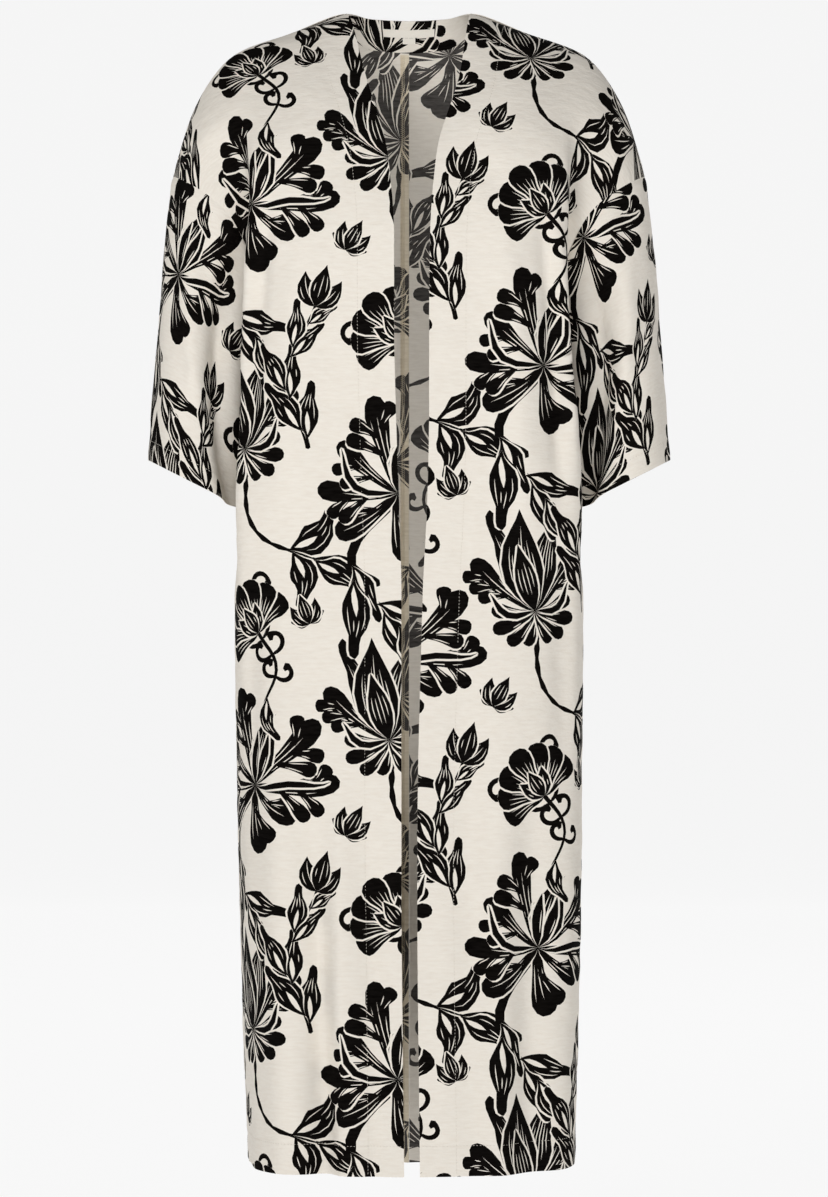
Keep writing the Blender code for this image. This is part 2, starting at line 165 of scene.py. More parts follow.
def outer_places(section, edge_x):
    """The places on a section from its inner edge to its outer one: edge, mid, ridge, tuck, seam."""
    drop = section["seam_z"] - section["edge_z"]
    mid_x = (edge_x + section["ridge_x"]) / 2
    mid_y = (section["edge_y"] + section["ridge_y"]) / 2 - section["bulge"]
    return [
        (edge_x, section["edge_y"], section["edge_z"]),
        (mid_x, mid_y, section["edge_z"] + drop * DROOP["mid"]),
        (section["ridge_x"], section["ridge_y"], section["edge_z"] + drop * DROOP["ridge"]),
        (section["tuck_x"], section["tuck_y"], section["edge_z"] + drop * DROOP["tuck"]),
        (section["seam_x"], section["seam_y"], section["seam_z"]),
    ]


def nape_places(section):
    """The places that a back section has between the centre-back seam and the neck point's line."""
    return [(0.0, section["cb_y"], section["edge_z"]), (NAPE_X, section["nape_y"], section["edge_z"])]


class Body:
    """One side of the body, as sections that run from the front hem over the shoulder to the back hem."""

    def __init__(self, side):
        self.side = side  # 1 for the wearer's left, -1 for the right
        edge_column = "left_edge_x" if side > 0 else "right_edge_x"
        fronts = [sized(FRONT_COLUMNS, row) for row in FRONT_SECTIONS.values()]
        backs = [sized(BACK_COLUMNS, row) for row in BACK_SECTIONS.values()]
        sections = [outer_places(s, s[edge_column]) for s in fronts]
        sections += [outer_places(s, s["edge_x"]) for s in backs]
        self.outer = np.array(sections)
        self.nape = np.array([nape_places(s) for s in backs])
        steps = np.linalg.norm(np.diff(self.outer[:, 1], axis=0), axis=1)
        self.knots = np.concatenate([[0.0], np.cumsum(steps)])
        self.shoulder = len(fronts)
        self.counts = np.round(np.diff(self.knots[: self.shoulder + 1]) / ROW_SIZE).astype(int)
        self.underarm = self.counts[: list(FRONT_SECTIONS).index("underarm")].sum()

    def rows(self, back):
        """Where the rows of faces lie along the knots, from the hem up to the shoulder."""
        ends = self.knots[: self.shoulder + 1]
        if back:
            ends = self.knots[self.shoulder :][::-1]
        parts = [np.linspace(a, b, n, endpoint=False) for a, b, n in zip(ends, ends[1:], self.counts)]
        return np.concatenate([*parts, ends[-1:]])

    def line(self, row, back):
        """Points across the cloth at one row."""
        places = smooth_through(self.knots, self.outer, np.array([row]))[0]
        steps = FRONT_STEPS
        if back:
            nape = smooth_through(self.knots[self.shoulder :], self.nape, np.array([row]))[0]
            places = np.concatenate([nape, places])
            steps = BACK_STEPS
        along = lengths_along(places[None])[0]
        parts = [np.linspace(a, b, n, endpoint=False) for a, b, n in zip(along, along[1:], steps)]
        at = np.concatenate([*parts, along[-1:]])
        if back:  # level where it crosses the centre-back seam
            along = np.concatenate([-along[1:2], along])
            places = np.concatenate([places[1:2] * (-1, 1, 1), places])
        return smooth_through(along, places, at)

    def grid(self, back, folds):
        """The cloth as rows of points from the hem up, each from the inner edge to the outer one."""
        points = np.array([self.line(row, back) for row in self.rows(back)])
        points += fold_offsets(points, folds, 1.0 if back else -1.0)
        return points * (self.side, 1, 1)


def lengths_along(points):
    """How far each point is along its row."""
    steps = np.linalg.norm(np.diff(points, axis=1), axis=2)
    return np.concatenate([np.zeros((len(points), 1)), np.cumsum(steps, axis=1)], axis=1)


def unit(vectors):
    return vectors / np.maximum(np.linalg.norm(vectors, axis=-1, keepdims=True), 1e-9)


def smooth_step(x):
    x = np.clip(x, 0, 1)
    return x * x * (3 - 2 * x)


def fold_offsets(points, folds, outward_y):
    """How far the upright folds move each point of a panel, level and square to its row."""
    along = lengths_along(points)
    across = np.gradient(points, axis=1)
    square = np.stack([-across[..., 1], across[..., 0], np.zeros(along.shape)], axis=2)
    square = outward_y * unit(square)
    hem_z = points[0, :, 2]
    offset = np.zeros(along.shape)
    for row in folds:
        fold = named(FOLD_COLUMNS, row)
        place = (along - fold["across"] * along[:, -1:]) / fold["half_width"]
        fade = smooth_step((fold["top_z"] - points[..., 2]) / (fold["top_z"] - hem_z))
        offset += fold["rise"] * fade * np.exp(-place * place)
    return square * offset[..., None]


def sleeve_grid(front, back, underarm):
    """A sleeve as rings from armhole to cuff, each from the underarm up its back and down its front."""
    back_edge, front_edge = back[underarm:, -1], front[underarm:, -1][::-1]
    armhole = np.concatenate([back_edge, front_edge[1:]])
    side = np.sign(armhole[0, 0])
    turn = np.concatenate([np.pi + half_turn(back_edge), 2 * np.pi + half_turn(front_edge)[1:]])
    rings = np.array(list(SLEEVE_RINGS.values())) / MM
    knots = np.linspace(0, 1, len(rings))
    grid = []
    for t in np.linspace(0, 1, SLEEVE_STEPS + 1):
        ring = named(SLEEVE_COLUMNS, smooth_through(knots, rings, np.array([t]))[0])
        outer = np.array((side * ring["outer_x"], 0, ring["outer_z"]))
        inner = np.array((side * ring["inner_x"], 0, ring["inner_z"]))
        round_y = np.array((0, -ring["half_depth"], 0))
        tube = (outer + inner) / 2
        tube = tube + np.cos(turn)[:, None] * (outer - inner) / 2 + np.sin(turn)[:, None] * round_y
        keep = 1 - smooth_step(t / ARMHOLE_REACH)
        grid.append(keep * armhole + (1 - keep) * tube)
    return np.array(grid)


def half_turn(edge):
    """Angles from 0 to half a turn, spread along an edge by its length."""
    along = lengths_along(edge[None])[0]
    return np.pi * along / along[-1]


# Creases in millimetres. Each runs from one place on the flat cloth to another, given across it and up it as
# it is seen from outside. Bow is how far its middle stands off the straight line, and rise how far it stands
# out, or in where it is below nothing.
CREASE_COLUMNS = ("across", "up", "across_end", "up_end", "bow", "half_width", "rise")
CREASES = {
    "front_left": (
        (92, 1120, 128, 640, 8, 22, 8.5),
        (140, 1100, 168, 680, 8, 10, -8),
        (156, 1090, 188, 720, 6, 9, 5),
        (188, 1060, 210, 800, -6, 12, -5),
        (60, 1140, 150, 1020, -10, 16, -2.8),
        (160, 740, 176, 380, 8, 18, -5.6),
        (58, 600, 70, -140, 6, 19, -7),
        (100, 460, 106, -160, -5, 17, 7),
        (142, 540, 152, -180, -8, 19, -7.6),
    ),
    "front_right": (
        (-146, 1120, -178, 720, -8, 10, -7.5),
        (-104, 1100, -134, 680, -8, 22, 7.5),
        (-182, 1060, -212, 820, 6, 12, 4.2),
        (-60, 1150, -150, 1010, 10, 16, -2.6),
        (-172, 700, -180, 360, -6, 16, -5.2),
        (-44, 440, -38, -160, 4, 12, -9),
        (-74, 500, -66, -180, -5, 14, 10),
        (-104, 420, -98, -150, 5, 13, -9),
        (-150, 580, -138, -140, 6, 22, 8),
    ),
    "back_left": (
        (-90, 1100, -185, 840, -14, 16, 5),
        (-130, 1110, -215, 880, 10, 13, -5.2),
        (-190, 1060, -240, 800, 8, 14, 4.4),
        (-60, 760, -75, -140, 10, 22, 8),
        (-105, 600, -100, -160, -6, 17, -7.8),
        (-150, 660, -138, -120, -8, 19, 7.4),
        (-215, 560, -200, -100, 6, 18, -6.4),
    ),
    "back_right": (
        (85, 1120, 178, 870, 12, 16, 4.8),
        (140, 1090, 220, 850, -10, 14, -5.2),
        (200, 1040, 245, 830, -8, 13, 4.2),
        (50, 640, 62, -120, -8, 21, -7.4),
        (92, 720, 106, -150, 8, 19, 8.2),
        (140, 600, 150, -140, -6, 17, -7.6),
        (205, 620, 212, -100, 6, 18, 6.4),
    ),
    "sleeve_left": (
        (-142, 300, -168, -80, 8, 24, -19),
        (-85, 290, -125, 40, 12, 16, 4.4),
        (-40, 320, -150, 170, 12, 13, -3.6),
        (-160, 200, -90, 110, 6, 10, 3.4),
        (-150, 130, -60, 60, 8, 11, -3),
        (-20, 220, -40, 0, 10, 18, -2.6),
        (80, 290, 150, 60, -12, 18, 4.4),
        (136, 290, 168, -40, 8, 20, -10),
        (50, 180, 150, 120, 8, 12, -3.2),
    ),
    "sleeve_right": (
        (144, 300, 170, -80, -8, 23, -18.5),
        (80, 300, 122, 60, -12, 16, 4),
        (50, 320, 145, 190, -10, 13, -3.4),
        (155, 170, 85, 90, -6, 10, 3.4),
        (150, 100, 70, 40, -8, 11, -3),
        (15, 250, 40, 10, -10, 18, -2.6),
        (-85, 280, -150, 70, 12, 18, 4.2),
        (-140, 290, -168, -50, -8, 20, -9.5),
        (-60, 190, -150, 130, -8, 12, -3),
    ),
}
CREASE_FADE = 0.35  # share of a crease's length over which it fades in, and out again
CRINKLE_SIZE = (0.050, 0.024)  # width and height of the soft unevenness of the crepe
CRINKLE_RISE = 0.0010
HEM_STEP = 0.0004  # how far a doubled hem or facing stands out
SEAM_DIP = 0.0010  # how far the cloth is drawn in at a seam or a row of stitching
SEAM_DIP_WIDTH = 0.0035
SEAM_REACH = 0.012  # creases fade out over this distance from a seam
BAND_STEP = 0.004  # width of the slope at the edge of a doubled band
PIECE_SEED, SIDE_SEED = 7.3, 3.1  # steps that give each piece its own crinkles


def crease_offsets(flat, creases):
    """How far the creases move each point out."""
    offset = np.zeros(flat.shape[:2])
    for row in creases:
        crease = sized(CREASE_COLUMNS, row)
        start = np.array((crease["across"], crease["up"]))
        way = np.array((crease["across_end"], crease["up_end"])) - start
        length = np.linalg.norm(way)
        share = (flat - start) @ way / length**2
        beside = (flat - start) @ np.array((-way[1], way[0])) / length
        beside = beside - crease["bow"] * 4 * share * (1 - share)
        fade = smooth_step(share / CREASE_FADE) * smooth_step((1 - share) / CREASE_FADE)
        offset += crease["rise"] * fade * np.exp(-((beside / crease["half_width"]) ** 2))
    return offset


def crinkle_offsets(flat, seed):
    """The soft unevenness of the crepe."""
    places = flat.reshape(-1, 2) / CRINKLE_SIZE
    heights = [noise.noise(Vector((x, y, seed))) for x, y in places]
    return CRINKLE_RISE * np.array(heights).reshape(flat.shape[:2])


def dip(distance):
    return -SEAM_DIP * np.exp(-((distance / SEAM_DIP_WIDTH) ** 2))


def band_offsets(distance, width):
    """A doubled band along an edge, drawn in along its stitching."""
    return HEM_STEP * smooth_step((width - distance) / BAND_STEP + 0.5) + dip(distance - width)


class Sheet:
    """A piece of cloth as a grid of points, with its flat pattern and the direction out of the garment.

    The flat pattern is seen from outside: metres across from its grain line, and up from its lower edge.
    """

    def __init__(self, name, points, flat):
        self.name, self.points, self.flat = name, points, flat
        self.turn_out()

    def turn_out(self):
        """Find the direction out of the garment at each point."""
        across, up = np.gradient(self.points, axis=1), np.gradient(self.points, axis=0)
        flat_across, flat_up = np.gradient(self.flat, axis=1), np.gradient(self.flat, axis=0)
        turn = flat_across[..., 0] * flat_up[..., 1] - flat_across[..., 1] * flat_up[..., 0]
        self.out = unit(np.cross(across, up) * np.sign(np.mean(turn)))

    def move_out(self, offset):
        self.points = self.points + self.out * offset[..., None]
        self.turn_out()

    def part(self, rows, columns):
        """A piece of the sheet, as another sheet."""
        piece = Sheet(self.name, self.points[rows, columns], self.flat[rows, columns])
        piece.out = self.out[rows, columns]
        return piece

    def line(self, distance, by_rows=True):
        """Points and directions at a distance from the first column (or the first row), along the cloth."""
        both = np.concatenate([self.points, self.out], axis=2)
        if not by_rows:
            both = both.swapaxes(0, 1)
        along = lengths_along(both[..., :3])
        distance = np.broadcast_to(distance, len(both))
        found = [[np.interp(d, a, row[:, k]) for k in range(6)] for d, a, row in zip(distance, along, both)]
        return np.array(found)


def panel_flat(points, side, back):
    across = lengths_along(points)
    if not back:
        across = across + np.abs(points[:, :1, 0])
    up = lengths_along(points.swapaxes(0, 1)).T + points[0, :, 2] - points[..., 2].min()
    return np.stack([across * side * (-1 if back else 1), up], axis=2)


def sleeve_flat(points, side):
    around = lengths_along(points)
    around = around - around[:, points.shape[1] // 2, None]
    down = lengths_along(points.swapaxes(0, 1)).T
    return np.stack([around * -side, down[-1] - down], axis=2)


def make_side(half, side, front_folds):
    """The front, back and sleeve of one side, with their creases."""
    body = Body(side)
    front = body.grid(False, front_folds)
    back = body.grid(True, BACK_FOLDS)
    sleeve = sleeve_grid(front, back, body.underarm)
    sheets = {
        "front": Sheet("front_" + half, front, panel_flat(front, side, False)),
        "back": Sheet("back_" + half, back, panel_flat(back, side, True)),
        "sleeve": Sheet("sleeve_" + half, sleeve, sleeve_flat(sleeve, side)),
    }
    for seed, (kind, sheet) in enumerate(sheets.items()):
        inwards = lengths_along(sheet.points)
        up = sheet.flat[..., 1] - sheet.flat[..., 1].min()
        soft = crease_offsets(sheet.flat, CREASES[sheet.name])
        soft = soft + crinkle_offsets(sheet.flat, PIECE_SEED * seed + SIDE_SEED * side)
        if kind == "sleeve":
            soft = soft + band_offsets(up, CUFF_DEPTH)
            seams = dip(lengths_along(sheet.points.swapaxes(0, 1)).T)
        else:
            soft = soft + band_offsets(up, HEM_DEPTH)
            seams = dip(inwards[:, -1:] - inwards)
        if kind == "front":
            soft = soft + band_offsets(inwards, FACING_WIDTH)
        if kind == "back":
            seams = seams + dip(inwards)
        sheet.move_out(soft * seam_fade(sheet, kind) + seams)
    return sheets


def seam_fade(sheet, kind):
    """Creases fade out at the seams, so that neighbouring pieces still meet."""
    inwards = lengths_along(sheet.points)
    upwards = lengths_along(sheet.points.swapaxes(0, 1)).T
    from_seam = upwards if kind == "sleeve" else np.minimum(inwards[:, -1:] - inwards, upwards[-1:] - upwards)
    if kind == "sleeve":
        from_seam = np.minimum(from_seam, np.minimum(inwards, inwards[:, -1:] - inwards))
    if kind == "back":
        from_seam = np.minimum(from_seam, inwards)
    return smooth_step(from_seam / SEAM_REACH)


# Block print. Flowers are drawn flat in millimetres, as shapes of ink and of bare cloth laid over each other.
INK, BARE = True, False
PRINT_UNIT = 0.001  # metres in a millimetre of the drawing
PRINT_REPEAT = (330.0, 318.0)  # width, and the drop to the next row, which steps half a width sideways
REPEATS = range(-6, 7)  # rows and columns of the repeat, more than any piece needs
EDGE_WOBBLE = 0.035  # unevenness of printed edges, as a share of the width
GAP_LINE = 1.5  # bare line round a petal that lies over others
VEIN = 0.7  # widest part of an engraved line
BOTH_SIDES = (1, -1)
# Half-width of a shape at shares of its length, as a share of its largest
PROFILES = {
    "bud": ((0.0, 0.0), (0.12, 0.50), (0.38, 1.0), (0.62, 0.84), (0.86, 0.28), (1.0, 0.0)),
    "leaf": ((0.0, 0.0), (0.14, 0.36), (0.38, 1.0), (0.54, 0.88), (0.74, 0.42), (0.96, 0.30), (1.0, 0.0)),
    "club": ((0.0, 0.0), (0.10, 0.28), (0.45, 0.56), (0.78, 1.0), (0.92, 0.88), (0.98, 0.50), (1.0, 0.0)),
    "blade": ((0.0, 0.0), (0.25, 0.80), (0.55, 1.0), (0.85, 0.42), (1.0, 0.0)),
}


def curve(start, heading, length, bend, sway=0.0, steps=11):
    """Shares along a line that bends, its points, and the direction to its left at each point."""
    share = (1 - np.cos(np.pi * np.linspace(0, 1, steps))) / 2  # closer together at both ends
    angle = np.radians(heading + bend * share + sway * np.sin(2 * np.pi * share))
    turn = (angle[1:] + angle[:-1]) / 2
    ways = np.stack([np.cos(turn), np.sin(turn)], axis=1) * length * np.diff(share)[:, None]
    points = start + np.concatenate([np.zeros((1, 2)), np.cumsum(ways, axis=0)])
    return share, points, np.stack([-np.sin(angle), np.cos(angle)], axis=1)


def on_curve(line, share):
    """A point on a line and the line's direction there, to grow the next shape from."""
    start, heading, length, bend, sway = line
    shares, points, _ = curve(start, heading, length, bend, sway, 24)
    place = np.array([np.interp(share, shares, points[:, k]) for k in (0, 1)])
    return place, heading + bend * share + sway * np.sin(2 * np.pi * share)


def pointed(points, left, half):
    """Outline of a shape with a point at both ends, anticlockwise."""
    right_side = points - left * half[:, None]
    left_side = points + left * half[:, None]
    return np.concatenate([right_side, left_side[-2:0:-1]])


def sliver(line, first, last, lane, thick, steps=5):
    """A thin bare shape that follows a petal's length, in a lane beside its middle line."""
    share, points, left, half = line
    at = np.linspace(first, last, steps)
    middle = np.stack([np.interp(at, share, points[:, k]) for k in (0, 1)], axis=1)
    side = np.stack([np.interp(at, share, left[:, k]) for k in (0, 1)], axis=1)
    middle = middle + side * (lane * np.interp(at, share, half))[:, None]
    return pointed(middle, side, thick * np.sin(np.pi * np.linspace(0, 1, steps)) ** 0.7)


def petal(hand, kind, start, heading, length, width, bend=0.0, sway=0.0, veins=4, drop=0.0):
    """A petal or leaf: its bare edge, its ink, engraved lines, and a bare drop at its base."""
    knots = np.array(PROFILES[kind])
    share, points, left = curve(start, heading, length, bend, sway, 15 if kind == "leaf" else 11)
    half = width / 2 * smooth_through(knots[:, 0], knots[:, 1], share)
    wave, shift = hand.uniform(2, 5), hand.uniform(0, 6)
    half = half * (1 + EDGE_WOBBLE * np.sin(wave * 2 * np.pi * share + shift))
    half[0] = half[-1] = 0.0
    grown = half + GAP_LINE * smooth_step(share / 0.3)
    grown[-1] = 0.0
    line = (share, points, left, half)
    shapes = [(BARE, pointed(points, left, grown)), (INK, pointed(points, left, half))]
    for lane in np.linspace(-0.62, 0.62, veins):
        first = 0.16 + 0.16 * hand.random() + 0.12 * abs(lane)
        if drop and abs(lane) < 0.25:
            first = 0.52
        last = 0.90 - 0.24 * hand.random() - 0.2 * abs(lane)
        shapes.append((BARE, sliver(line, first, last, lane, VEIN / 2)))
    if drop:
        shapes.append((BARE, sliver(line, 0.09, 0.48, 0.0, drop / 2)))
    return shapes


def lobed(hand, start, heading, length, width, bend, lobes):
    """A petal with rounded lobes that branch off its middle line, printed as one shape."""
    clubs = [petal(hand, "club", start, heading, length, width, bend, veins=3)]
    for share, turn, size in lobes:
        foot, way = on_curve((start, heading, length, bend, 0.0), share)
        clubs.append(petal(hand, "club", foot, way + turn, length * size, width * 0.66, turn * 0.35, veins=2))
    edges = [club[0] for club in clubs]
    return edges + [shape for club in clubs for shape in club[1:]]


def stalk(line, width, rope=False):
    """A stalk that thins towards its end, with notched edges where it is twisted like rope."""
    steps = 26 if rope else 18
    share, points, left = curve(*line, steps)
    half = width / 2 * (1 - 0.45 * share)
    if rope:
        half = half * (1 - 0.4 * (np.arange(steps) % 2))
    half[0] = half[-1] = 0.0
    return [(INK, pointed(points, left, half))]


def hook(start, heading, length, width, turn):
    """A curl that ends in a bulb."""
    share = np.linspace(0, 1, 15)
    angle = np.radians(heading + turn * share**1.6)
    ways = np.stack([np.cos(angle), np.sin(angle)], axis=1) * length / (len(share) - 1)
    points = start + np.concatenate([np.zeros((1, 2)), np.cumsum(ways[1:], axis=0)])
    left = np.stack([-np.sin(angle), np.cos(angle)], axis=1)
    half = 0.35 + 0.3 * np.sin(np.pi * share) + 0.75 * np.exp(-(((share - 0.9) / 0.09) ** 2))
    half[0] = half[-1] = 0.0
    return [(INK, pointed(points, left, half * width / 2))]


def leaves_on(hand, line, leaves):
    """Leaves on a stalk: share of its length, left (1) or right (-1), angle, length, width and bend."""
    shapes = []
    for share, side, turn, length, width, bend in leaves:
        foot, way = on_curve(line, share)
        leaf = (foot, way + side * turn, length, width, side * bend, -side * 16)
        shapes += petal(hand, "leaf", *leaf, veins=4, drop=width * 0.2)
    return shapes


def small_bud(hand, start, heading, size):
    """A small three-petalled flower."""
    shapes = []
    for turn, length, bend in ((-52, 26, 44), (52, 26, -44), (0, 30, 0)):
        shapes += petal(hand, "bud", start, heading + turn, length * size, 13 * size, bend, veins=3)
    return shapes


def rosette(hand, start, heading):
    """The big bloom: lobed petals round a pointed bud, on an S-shaped stalk with leaves."""
    line = (start, heading + 160, 122, 66, -30)
    leaves = (
        (0.52, 1, 40, 46, 17, -40), (0.60, -1, 40, 58, 21, -30), (0.80, 1, 40, 50, 18, -30),
        (0.86, -1, 44, 46, 17, -44), (0.98, 1, 6, 42, 15, -20),
    )
    petals = (
        (-172, 50, 19, 30, ((0.34, 30, 0.60),)),
        (150, 54, 17, -30, ((0.32, -34, 0.58),)),
        (-130, 44, 13, 34, ((0.40, 36, 0.50),)),
        (110, 58, 15, -24, ((0.34, 36, 0.50), (0.54, 40, 0.42))),
        (-88, 68, 16, 26, ((0.34, -40, 0.46), (0.52, -42, 0.40), (0.68, 34, 0.30))),
        (70, 56, 14, -18, ((0.36, 44, 0.46), (0.56, 42, 0.40))),
        (-44, 70, 17, 16, ((0.36, -42, 0.44), (0.54, -42, 0.38), (0.64, 36, 0.32))),
        (32, 72, 17, -12, ((0.38, 42, 0.44), (0.56, 42, 0.36), (0.66, -34, 0.30))),
    )
    shapes = stalk(line, 8.5) + leaves_on(hand, line, leaves)
    for turn, length, width, bend, lobes in petals:
        shapes += lobed(hand, start, heading + turn, length, width, bend, lobes)
    for turn, bend in ((-106, 62), (96, -66), (12, -44)):
        shapes += petal(hand, "blade", start, heading + turn, 62, 4.6, bend, 24, veins=0)
    shapes += petal(hand, "bud", start, heading - 6, 54, 25, 4, veins=6)
    for turn in (-22, 20):
        shapes += petal(hand, "blade", start, heading + turn, 40, 8, -turn * 1.2, veins=1)
    return shapes


def lily(hand, start, heading):
    """The upright bloom: a tall bud between wavy petals, on a stalk twisted like rope."""
    line = (start, heading + 186, 122, 44, -26)
    leaves = (
        (0.78, 1, 44, 50, 24, 34), (0.80, -1, 52, 46, 22, 30), (0.94, 1, 20, 54, 22, -34),
        (0.95, -1, 24, 44, 20, -40),
    )
    shapes = stalk(line, 5.6, rope=True) + leaves_on(hand, line, leaves)
    for side in BOTH_SIDES:
        for turn, length in ((170, 27), (146, 33), (120, 36), (94, 34)):
            shapes += petal(hand, "club", start, heading + side * turn, length, 11, side * -30, veins=2)
        lobes = ((0.36, side * 34, 0.40), (0.52, side * 36, 0.38), (0.68, side * 34, 0.34))
        shapes += lobed(hand, start, heading + side * 56, 62, 15, side * -26, lobes)
        shapes += petal(hand, "blade", start, heading + side * 88, 44, 5, side * -54, side * 26, veins=0)
        shapes += petal(hand, "leaf", start, heading + side * 40, 84, 23, side * -46, side * -16, veins=6)
    shapes += petal(hand, "bud", start, heading + 6, 78, 32, -8, 8, veins=8)
    return shapes + petal(hand, "bud", start, heading + 10, 52, 17, -4, veins=4)


def carnation(hand, start, heading):
    """The fan-shaped bloom with hooks round it and below it."""
    line = (start, heading + 180, 66, -62, 20)
    shapes = stalk(line, 3.8)
    for side in BOTH_SIDES:
        for share, turn, length in ((0.10, 84, 40), (0.34, 74, 34), (0.62, 62, 28)):
            foot, way = on_curve(line, share)
            shapes += hook(foot, way + side * turn, length, 6.4, side * 250)
        tip, _ = on_curve((start, heading + side * 34, 30, 0, 0), 1.0)
        shapes += hook(tip, heading + side * 10, 40, 6.4, side * 260)
    shapes += leaves_on(hand, line, ((0.9, 1, 30, 40, 15, 40),))
    for turn in (-74, 74, -50, 50, -25, 25, 0):
        shapes += petal(hand, "club", start, heading + turn, 46 - abs(turn) * 0.09, 20, turn * 0.15, veins=4)
    for turn in (-36, 36, 0):
        shapes += petal(hand, "bud", start, heading + turn, 25, 12, turn * -0.4, veins=3)
    return shapes


def leaf_spray(hand, start, heading):
    """A twig of leaves with a bud at its tip."""
    line = (start, heading, 134, -22, 22)
    leaves = (
        (0.06, -1, 34, 52, 20, -30), (0.12, 1, 32, 56, 21, -26), (0.34, -1, 38, 50, 19, -34),
        (0.40, 1, 36, 52, 19, -30), (0.62, -1, 40, 42, 16, -36), (0.68, 1, 38, 44, 16, -34),
        (0.86, -1, 44, 30, 12, -30),
    )
    foot, way = on_curve(line, 0.98)
    return stalk(line, 4.2) + leaves_on(hand, line, leaves) + small_bud(hand, foot, way, 1.25)


def tulip(hand, start, heading):
    """A small flower on two small leaves."""
    shapes = []
    for side in BOTH_SIDES:
        shapes += petal(hand, "leaf", start, heading + side * 84, 20, 7.5, side * -40, veins=1)
    return shapes + small_bud(hand, start, heading, 1.05)


# What the repeat holds: the flower, its place in the repeat, the way it points in degrees, and its size
PRINT_LAYOUT = (
    (rosette, (88, 226), 78, 1.52),
    (lily, (244, 276), 98, 1.46),
    (carnation, (258, 74), 128, 1.36),
    (leaf_spray, (156, -44), 98, 1.26),
    (tulip, (196, 172), 60, 1.20),
    (tulip, (322, 84), 110, 1.10),
)


def draw_repeat():
    """All the shapes of one repeat in metres, in the order in which they are printed."""
    hand = np.random.default_rng(11)
    shapes = []
    for flower, place, heading, size in PRINT_LAYOUT:
        for ink, points in flower(hand, np.zeros(2), heading):
            shapes.append((ink, (place + points * size) * PRINT_UNIT))
    return shapes


def print_over(low, high, origin):
    """The printed shapes that reach into a box of flat cloth, with the corners of their own boxes."""
    width, drop = np.array(PRINT_REPEAT) * PRINT_UNIT
    lows = np.array([points.min(axis=0) for _, points in REPEAT_SHAPES])
    highs = np.array([points.max(axis=0) for _, points in REPEAT_SHAPES])
    found = []
    for row in REPEATS:
        for column in REPEATS:
            move = np.array(((column + row % 2 / 2) * width, row * drop)) + origin
            reaches = ((highs + move > low) & (lows + move < high)).all(axis=1)
            for n in np.flatnonzero(reaches):
                ink, points = REPEAT_SHAPES[n]
                found.append((ink, points + move, lows[n] + move, highs[n] + move))
    return found


REPEAT_SHAPES = draw_repeat()


# Cloth meshes
TILE = 12  # faces along each side of a tile of cloth that is cut at one time
JOIN_SIZE = 4e-6  # points of neighbouring tiles that are closer than this are one
RIBBON = 0.0005  # thickness of the label and the tab
THREAD = 0.0003  # half the thickness of a sewing thread


def cut_tile(flat, shapes):
    """Cut a tile of flat cloth along the shapes on it: points, triangles, and which triangles carry ink."""
    rows, columns = flat.shape[:2]
    number = np.arange(rows * columns).reshape(rows, columns)
    edge = [*number[0, :-1], *number[:-1, -1], *number[-1, :0:-1], *number[:0:-1, 0]]
    across, up = flat[0, -1] - flat[0, 0], flat[-1, 0] - flat[0, 0]
    if across[0] * up[1] < across[1] * up[0]:  # outlines run anticlockwise
        edge = edge[::-1]
    points = [flat.reshape(-1, 2)]
    outlines = [[int(n) for n in edge]]
    inked = [BARE]
    used = rows * columns
    for ink, shape in shapes:
        points.append(shape)
        outlines.append(list(range(used, used + len(shape))))
        inked.append(ink)
        used += len(shape)
    corners = [Vector(p) for p in np.concatenate(points)]
    places, _, triangles, _, _, shapes_there = delaunay_2d_cdt(corners, [], outlines, 1, 1e-6)
    kept = [(t, inked[max(s)]) for t, s in zip(triangles, shapes_there) if 0 in s]
    return np.array([p[:] for p in places]), np.array([t for t, _ in kept]), np.array([i for _, i in kept])


def printed_triangles(flat, origin):
    """Cut the whole flat pattern along its print, tile by tile."""
    rows, columns = flat.shape[:2]
    shapes = print_over(flat.min(axis=(0, 1)), flat.max(axis=(0, 1)), origin)
    lows, highs = np.array([s[2] for s in shapes]), np.array([s[3] for s in shapes])
    places, triangles, inked = [], [], []
    used = 0
    for row in range(0, rows - 1, TILE):
        for column in range(0, columns - 1, TILE):
            tile = flat[row : row + TILE + 1, column : column + TILE + 1]
            near = (highs > tile.min(axis=(0, 1))) & (lows < tile.max(axis=(0, 1)))
            on_tile = [shapes[n][:2] for n in np.flatnonzero(near.all(axis=1))]
            tile_places, tile_triangles, tile_inked = cut_tile(tile, on_tile)
            places.append(tile_places)
            triangles.append(tile_triangles + used)
            inked.append(tile_inked)
            used += len(tile_places)
    return joined(np.concatenate(places), np.concatenate(triangles), np.concatenate(inked))


def joined(places, triangles, inked):
    """Join points that coincide, and leave out triangles that this closes up."""
    used, triangles = np.unique(triangles, return_inverse=True)
    keys = np.round(places[used] / JOIN_SIZE).astype(np.int64)
    _, first, same = np.unique(keys, axis=0, return_index=True, return_inverse=True)
    triangles = same.ravel()[triangles.reshape(-1, 3)]
    whole = (triangles != np.roll(triangles, 1, axis=1)).all(axis=1)
    return places[used][first], triangles[whole], inked[whole]


def grid_triangles(sheet):
    """Two triangles for each face of the sheet's grid."""
    rows, columns = sheet.flat.shape[:2]
    number = np.arange(rows * columns).reshape(rows, columns)
    a, b, c, d = number[:-1, :-1], number[:-1, 1:], number[1:, 1:], number[1:, :-1]
    return np.concatenate([np.stack(t, axis=-1).reshape(-1, 3) for t in ((a, b, c), (a, c, d))])


